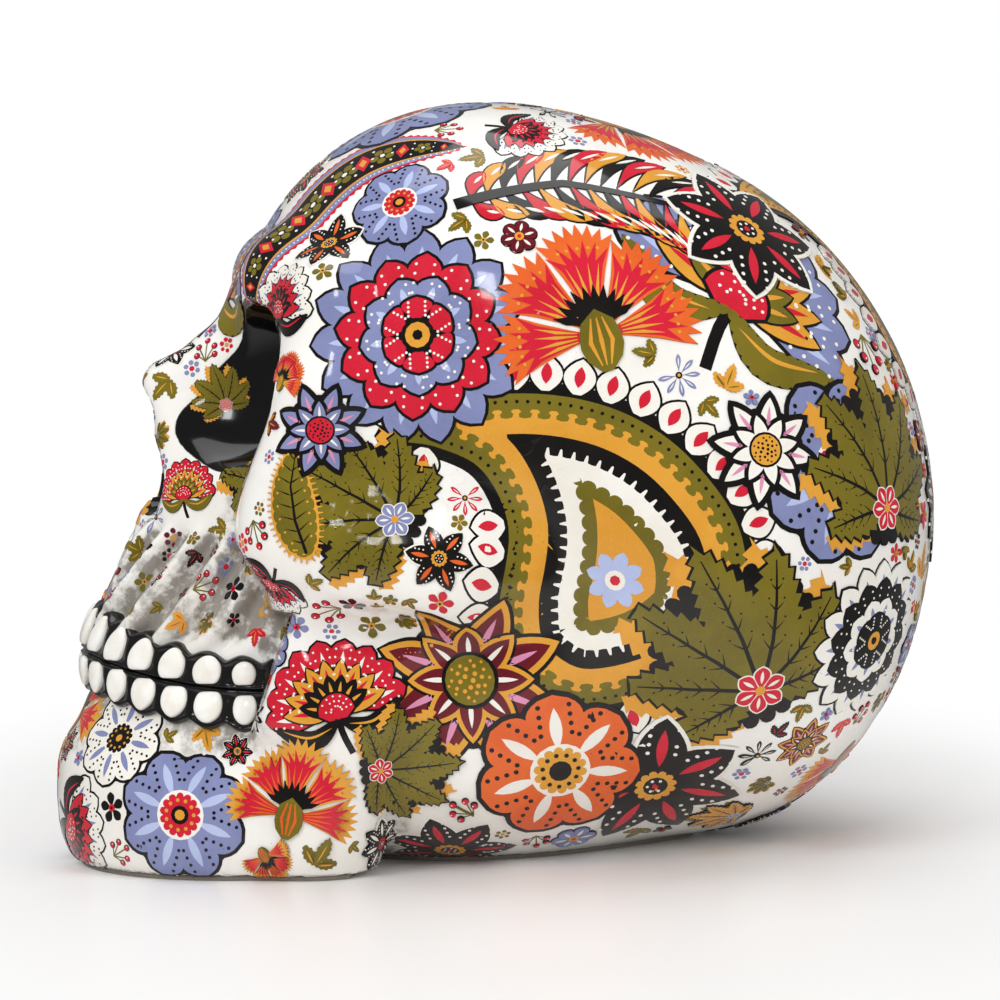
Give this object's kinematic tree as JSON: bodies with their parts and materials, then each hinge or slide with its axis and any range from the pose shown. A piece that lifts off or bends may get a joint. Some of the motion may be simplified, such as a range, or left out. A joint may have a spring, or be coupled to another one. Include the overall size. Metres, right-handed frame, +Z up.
{
  "type": "skull ornament",
  "caption": "Hollow decorative skull with a closed jaw, inlaid gum strips and raised teeth, covered in flowers and leaves, standing on a felt base.",
  "frame": {"origin": "under the middle of the skull, on the surface that it stands on", "axes": "+Z up, the face looks along -Y, +X is the skull's left side"},
  "size_m": [0.1238, 0.1872, 0.1577],
  "materials": {
    "skull": "glossy lacquer over a printed floral pattern",
    "gum": "glossy black lacquer",
    "teeth": "glossy ivory white",
    "felt": "felt"
  },
  "bodies": {
    "root": {"skull_shell": "skull", "base_felt": "felt", "upper_gum": "gum", "lower_gum": "gum", "upper_left_tooth_1": "teeth", "upper_left_tooth_2": "teeth", "upper_left_tooth_3": "teeth", "upper_left_tooth_4": "teeth", "upper_left_tooth_5": "teeth", "upper_left_tooth_6": "teeth", "upper_left_tooth_7": "teeth", "upper_right_tooth_1": "teeth", "upper_right_tooth_2": "teeth", "upper_right_tooth_3": "teeth", "upper_right_tooth_4": "teeth", "upper_right_tooth_5": "teeth", "upper_right_tooth_6": "teeth", "upper_right_tooth_7": "teeth", "lower_left_tooth_1": "teeth", "lower_left_tooth_2": "teeth", "lower_left_tooth_3": "teeth", "lower_left_tooth_4": "teeth", "lower_left_tooth_5": "teeth", "lower_left_tooth_6": "teeth", "lower_left_tooth_7": "teeth", "lower_right_tooth_1": "teeth", "lower_right_tooth_2": "teeth", "lower_right_tooth_3": "teeth", "lower_right_tooth_4": "teeth", "lower_right_tooth_5": "teeth", "lower_right_tooth_6": "teeth", "lower_right_tooth_7": "teeth"}
  },
  "joints": []
}
